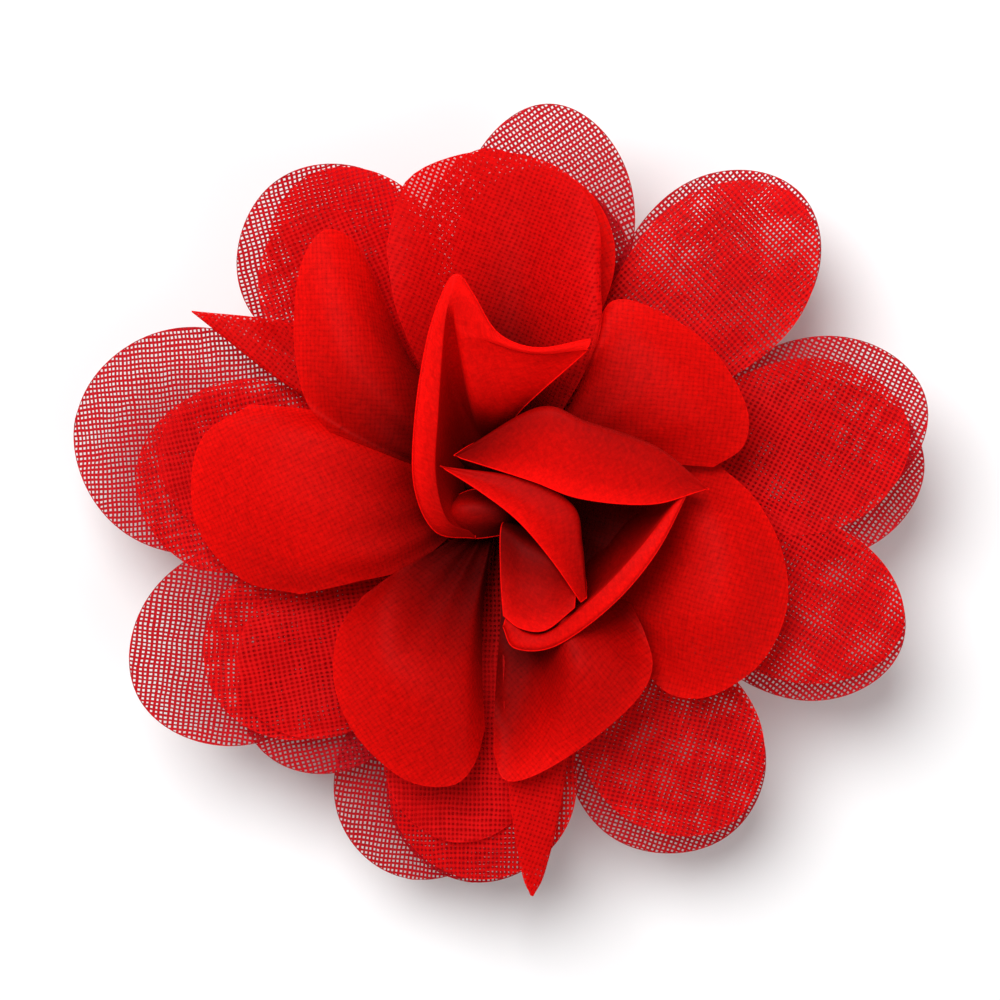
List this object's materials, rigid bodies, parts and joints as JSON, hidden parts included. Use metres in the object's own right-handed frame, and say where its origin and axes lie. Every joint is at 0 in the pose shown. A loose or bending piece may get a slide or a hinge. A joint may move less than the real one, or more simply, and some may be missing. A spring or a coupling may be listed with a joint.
{
  "type": "flower hair clip",
  "caption": "Layered chiffon flower with gathered rounded petals, glued by a felt disc to a sprung alligator hair clip.",
  "frame": {"origin": "on the surface that the clip lies on, under the middle of the flower's box", "axes": "+Z is the way the flower faces, +X runs along the clip from the lever to the tip of the prong, +Y is across the clip along the hinge pin"},
  "size_m": [0.0641, 0.0591, 0.0247],
  "materials": {
    "chiffon_outer": "sheer woven chiffon, matt with a faint sheen",
    "chiffon_inner": "woven chiffon in two layers, matt with a faint sheen",
    "chiffon_middle": "woven chiffon, dense, matt with a faint sheen",
    "chiffon_centre": "folded woven chiffon, matt with a faint sheen",
    "red_felt": "needled felt, fuzzy and matt",
    "red_thread": "twisted sewing thread",
    "hot_glue": "set hot glue, milky and glossy",
    "nickel_steel": "nickel-plated sheet steel, bright with fine rolling marks",
    "pin_steel": "nickel-plated steel pin with riveted heads",
    "spring_steel": "drawn spring wire"
  },
  "bodies": {
    "flower": {"clip_base": "nickel_steel", "hinge_pin": "pin_steel", "torsion_spring": "spring_steel", "glue_pad": "hot_glue", "felt_backing": "red_felt", "gathering_thread": "red_thread", "outer_petal_1": "chiffon_outer", "outer_petal_2": "chiffon_outer", "outer_petal_3": "chiffon_outer", "outer_petal_4": "chiffon_outer", "outer_petal_5": "chiffon_outer", "outer_petal_6": "chiffon_outer", "outer_petal_7": "chiffon_outer", "outer_petal_8": "chiffon_outer", "outer_petal_9": "chiffon_outer", "folded_petal_1": "chiffon_outer", "folded_petal_2": "chiffon_outer", "inner_petal_1": "chiffon_inner", "inner_petal_2": "chiffon_inner", "inner_petal_3": "chiffon_inner", "inner_petal_4": "chiffon_inner", "inner_petal_5": "chiffon_inner", "inner_petal_6": "chiffon_inner", "inner_petal_7": "chiffon_inner", "inner_petal_8": "chiffon_inner", "inner_petal_9": "chiffon_inner", "middle_petal_1": "chiffon_middle", "middle_petal_2": "chiffon_middle", "middle_petal_3": "chiffon_middle", "middle_petal_4": "chiffon_middle", "middle_petal_5": "chiffon_middle", "middle_petal_6": "chiffon_middle", "middle_petal_7": "chiffon_middle", "centre_petal_1": "chiffon_centre", "centre_petal_2": "chiffon_centre", "centre_petal_3": "chiffon_centre", "centre_petal_4": "chiffon_centre", "centre_petal_5": "chiffon_centre", "centre_petal_6": "chiffon_centre"},
    "lever": {"clip_lever": "nickel_steel"}
  },
  "joints": [
    {"name": "lever_hinge", "type": "hinge", "parent": "flower", "child": "lever", "pos_m": [-0.006, 0, 0.0034], "axis": [0, 1, 0], "range_deg": [0, 21], "stiffness_Nm_per_rad": 0.08, "springref_deg": -34.38, "deforming": ["torsion_spring"]}
  ]
}
